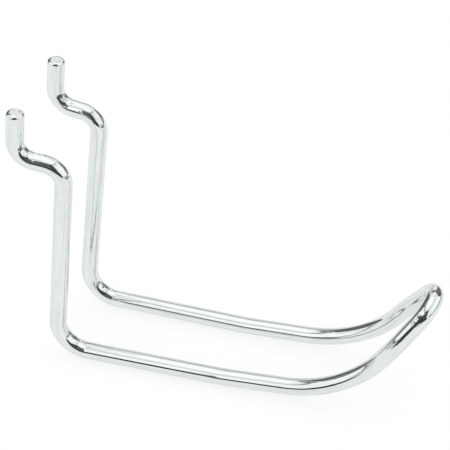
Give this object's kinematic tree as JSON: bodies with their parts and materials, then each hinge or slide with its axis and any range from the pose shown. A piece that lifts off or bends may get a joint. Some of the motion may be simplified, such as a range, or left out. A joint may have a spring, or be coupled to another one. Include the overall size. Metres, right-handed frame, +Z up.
{
  "type": "pegboard hook",
  "caption": "Double wire hook for a pegboard: two upturned pegs pass through the board's holes, and two arms joined by a U-turn hold what hangs on them.",
  "frame": {"origin": "on the plane of the board's front face, midway between the axes of the two shanks that pass through its holes", "axes": "+X straight out from the board, along the arms; +Y along the row of holes; +Z up, along the legs and pegs"},
  "size_m": [0.1104, 0.0298, 0.0745],
  "materials": {
    "plated_wire": "bright plated steel wire, drawn and bent, with a mirror shine and faint lengthwise drawing lines"
  },
  "bodies": {
    "root": {"hook_wire": "plated_wire"}
  },
  "joints": []
}
